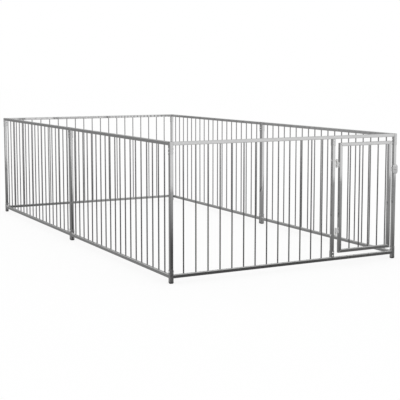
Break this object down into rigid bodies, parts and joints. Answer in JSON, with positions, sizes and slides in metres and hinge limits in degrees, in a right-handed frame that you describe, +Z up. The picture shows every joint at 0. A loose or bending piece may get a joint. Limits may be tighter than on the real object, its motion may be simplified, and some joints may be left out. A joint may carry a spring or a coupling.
{
  "type": "outdoor dog kennel run",
  "caption": "Open-topped outdoor dog run of galvanised square tube with round upright bars, bolted corner connectors, capped feet, a hinged barred door and a turning latch plate.",
  "frame": {"origin": "on the ground, under the middle of the run", "axes": "+Y from the door front to the back, +X to the right seen from the door front, +Z up"},
  "size_m": [2.0171, 4.0158, 1],
  "materials": {
    "galvanised_tube": "hot-dip galvanised square tube, dull silver",
    "galvanised_bar": "galvanised round tube, smooth drawn surface",
    "galvanised_connector": "galvanised welded sleeve, slightly rougher zinc",
    "zinc_hardware": "bright zinc-plated steel",
    "latch_zinc": "zinc-plated pressed plate, satin",
    "black_plastic": "moulded polyethylene, matt",
    "white_nylon": "turned natural nylon, satin"
  },
  "bodies": {
    "run_frame": {"front_left_post": "galvanised_tube", "front_right_post": "galvanised_tube", "back_left_post": "galvanised_tube", "back_right_post": "galvanised_tube", "left_middle_post": "galvanised_tube", "right_middle_post": "galvanised_tube", "hinge_post": "galvanised_tube", "front_top_rail": "galvanised_tube", "back_top_rail": "galvanised_tube", "left_front_top_rail": "galvanised_tube", "left_back_top_rail": "galvanised_tube", "right_front_top_rail": "galvanised_tube", "right_back_top_rail": "galvanised_tube", "front_bottom_rail": "galvanised_tube", "back_bottom_rail": "galvanised_tube", "left_front_bottom_rail": "galvanised_tube", "left_back_bottom_rail": "galvanised_tube", "right_front_bottom_rail": "galvanised_tube", "right_back_bottom_rail": "galvanised_tube", "front_bars": "galvanised_bar", "back_bars": "galvanised_bar", "left_front_bars": "galvanised_bar", "left_back_bars": "galvanised_bar", "right_front_bars": "galvanised_bar", "right_back_bars": "galvanised_bar", "front_left_top_connector": "galvanised_connector", "front_right_top_connector": "galvanised_connector", "back_left_top_connector": "galvanised_connector", "back_right_top_connector": "galvanised_connector", "left_middle_top_connector": "galvanised_connector", "right_middle_top_connector": "galvanised_connector", "front_left_bottom_connector": "galvanised_connector", "front_right_bottom_connector": "galvanised_connector", "back_left_bottom_connector": "galvanised_connector", "back_right_bottom_connector": "galvanised_connector", "left_middle_bottom_connector": "galvanised_connector", "right_middle_bottom_connector": "galvanised_connector", "hinge_post_top_socket": "galvanised_connector", "hinge_post_bottom_socket": "galvanised_connector", "foot_caps": "black_plastic", "connector_bolts": "zinc_hardware", "connector_nuts": "zinc_hardware", "upper_hinge_eye": "zinc_hardware", "lower_hinge_eye": "zinc_hardware", "hinge_pins": "zinc_hardware", "hinge_bushes": "white_nylon", "hinge_and_latch_nuts": "zinc_hardware", "latch_bolt": "zinc_hardware", "latch_spacer": "zinc_hardware", "door_stop": "zinc_hardware"},
    "door": {"door_hinge_stile": "galvanised_tube", "door_latch_stile": "galvanised_tube", "door_top_rail": "galvanised_tube", "door_bottom_rail": "galvanised_tube", "door_bars": "galvanised_bar", "upper_hinge_barrel": "zinc_hardware", "lower_hinge_barrel": "zinc_hardware", "door_catch": "zinc_hardware"},
    "latch": {"latch_plate": "latch_zinc"}
  },
  "joints": [
    {"name": "door_swing", "type": "hinge", "parent": "run_frame", "child": "door", "pos_m": [0.4295, -1.9875, 0.5], "axis": [0, 0, -1], "range_deg": [0, 105]},
    {"name": "latch_turn", "type": "hinge", "parent": "run_frame", "child": "latch", "pos_m": [0.9875, -2.0035, 0.718], "axis": [0, 1, 0], "range_deg": [0, 90]}
  ]
}
